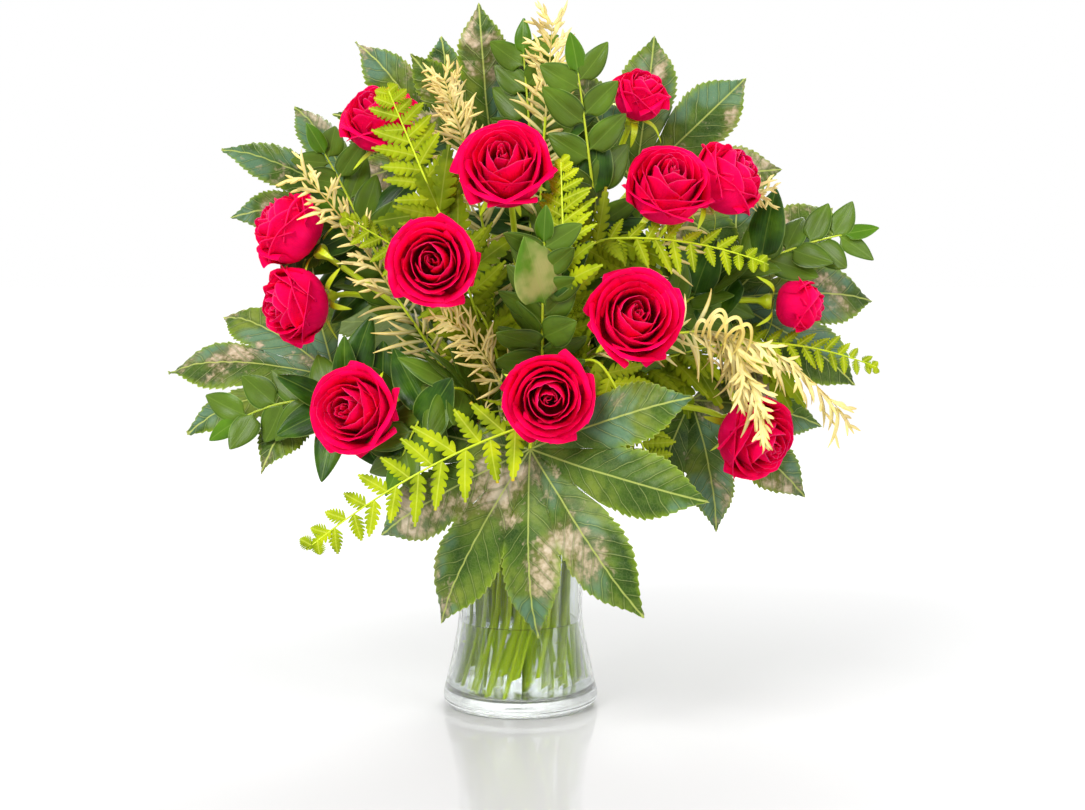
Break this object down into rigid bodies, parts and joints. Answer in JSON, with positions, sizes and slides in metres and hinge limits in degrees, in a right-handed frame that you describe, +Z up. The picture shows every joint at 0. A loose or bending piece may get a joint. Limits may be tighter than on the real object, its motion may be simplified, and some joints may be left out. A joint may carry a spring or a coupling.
{
  "type": "roses in a vase",
  "caption": "A waisted clear glass vase of water that holds a full, one-sided bouquet of red roses with lobed aralia leaves, fern fronds, glossy leafy shoots and narrow golden sprays",
  "frame": {"origin": "the centre of the vase's flat underside", "axes": "+Z up; -Y is the front that the bouquet faces; +X is the right as seen from the front"},
  "size_m": [0.525, 0.3571, 0.504],
  "materials": {
    "petal": "matte",
    "rose_stem": "satin",
    "aralia": "satin",
    "fern": "satin",
    "ruscus": "satin",
    "grevillea": "matte",
    "vase_glass": "polished",
    "water": "polished"
  },
  "bodies": {
    "root": {"rose_bloom_1": "petal", "rose_bloom_2": "petal", "rose_bloom_3": "petal", "rose_bloom_4": "petal", "rose_bloom_5": "petal", "rose_bloom_6": "petal", "rose_bloom_7": "petal", "rose_bloom_8": "petal", "rose_bloom_9": "petal", "rose_bloom_10": "petal", "rose_bloom_11": "petal", "rose_bloom_12": "petal", "rose_bloom_13": "petal", "rose_stem_1": "rose_stem", "rose_stem_2": "rose_stem", "rose_stem_3": "rose_stem", "rose_stem_4": "rose_stem", "rose_stem_5": "rose_stem", "rose_stem_6": "rose_stem", "rose_stem_7": "rose_stem", "rose_stem_8": "rose_stem", "rose_stem_9": "rose_stem", "rose_stem_10": "rose_stem", "rose_stem_11": "rose_stem", "rose_stem_12": "rose_stem", "rose_stem_13": "rose_stem", "aralia_leaf_1": "aralia", "aralia_leaf_2": "aralia", "aralia_leaf_3": "aralia", "aralia_leaf_4": "aralia", "aralia_leaf_5": "aralia", "aralia_leaf_6": "aralia", "aralia_leaf_7": "aralia", "aralia_leaf_8": "aralia", "aralia_leaf_9": "aralia", "aralia_leaf_10": "aralia", "fern_frond_1": "fern", "fern_frond_2": "fern", "fern_frond_3": "fern", "fern_frond_4": "fern", "fern_frond_5": "fern", "fern_frond_6": "fern", "fern_frond_7": "fern", "fern_frond_8": "fern", "ruscus_shoot_1": "ruscus", "ruscus_shoot_2": "ruscus", "ruscus_shoot_3": "ruscus", "ruscus_shoot_4": "ruscus", "ruscus_shoot_5": "ruscus", "ruscus_shoot_6": "ruscus", "ruscus_shoot_7": "ruscus", "grevillea_spray_1": "grevillea", "grevillea_spray_2": "grevillea", "grevillea_spray_3": "grevillea", "grevillea_spray_4": "grevillea", "grevillea_spray_5": "grevillea", "grevillea_spray_6": "grevillea", "vase": "vase_glass", "water": "water"}
  },
  "joints": []
}
